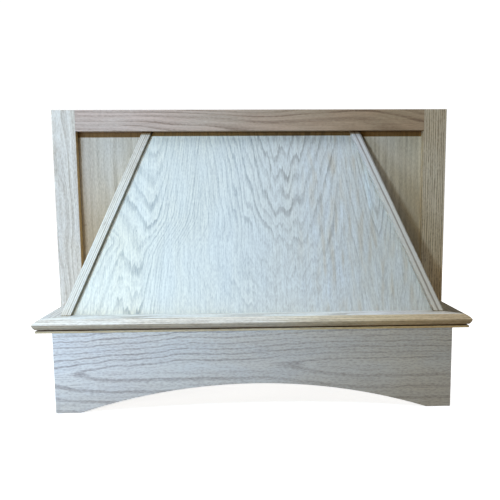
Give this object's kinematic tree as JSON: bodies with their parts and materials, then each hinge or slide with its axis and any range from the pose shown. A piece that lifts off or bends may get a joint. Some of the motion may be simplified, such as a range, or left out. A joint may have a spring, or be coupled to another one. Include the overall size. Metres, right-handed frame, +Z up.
{
  "type": "wooden range hood cover",
  "caption": "Unfinished oak range hood cover: a leaning, tapering canopy on a moulded cap and arched valance, in front of a face-framed cabinet box that is open below.",
  "frame": {"origin": "middle of the base: half the width, half the depth, at the level of the valance's feet", "axes": "+X to the right as seen from the front, +Y towards the wall, +Z up"},
  "size_m": [0.762, 0.4842, 0.5461],
  "materials": {
    "oak": "sanded solid red oak, unfinished",
    "oak_veneer_ply": "sanded oak-veneered plywood, unfinished",
    "inner_softwood": "planed softwood, unfinished",
    "beech": "fluted or pressed hardwood",
    "zinc_steel": "zinc-plated"
  },
  "bodies": {
    "root": {"left_stile": "oak", "right_stile": "oak", "top_rail": "oak", "arched_valance": "oak", "left_valance_return": "oak", "right_valance_return": "oak", "front_cap": "oak", "left_cap_return": "oak", "right_cap_return": "oak", "left_batten": "oak", "right_batten": "oak", "front_panel": "oak_veneer_ply", "left_infill_panel": "oak_veneer_ply", "right_infill_panel": "oak_veneer_ply", "left_side_panel": "oak_veneer_ply", "right_side_panel": "oak_veneer_ply", "top_panel": "oak_veneer_ply", "left_cheek": "oak_veneer_ply", "right_cheek": "oak_veneer_ply", "upper_hanging_rail": "inner_softwood", "lower_hanging_rail": "inner_softwood", "left_liner_ledger": "inner_softwood", "right_liner_ledger": "inner_softwood", "left_infill_cleat": "inner_softwood", "right_infill_cleat": "inner_softwood", "left_corner_block": "inner_softwood", "right_corner_block": "inner_softwood", "front_base_cleat": "inner_softwood", "left_base_cleat": "inner_softwood", "right_base_cleat": "inner_softwood", "canopy_top_cleat": "inner_softwood", "panel_foot_cleat": "inner_softwood", "left_cheek_cleat": "inner_softwood", "right_cheek_cleat": "inner_softwood", "frame_dowels": "beech", "cap_biscuits": "beech", "batten_brads": "zinc_steel", "return_screws": "zinc_steel", "ledger_screws": "zinc_steel", "cap_screws": "zinc_steel"}
  },
  "joints": []
}
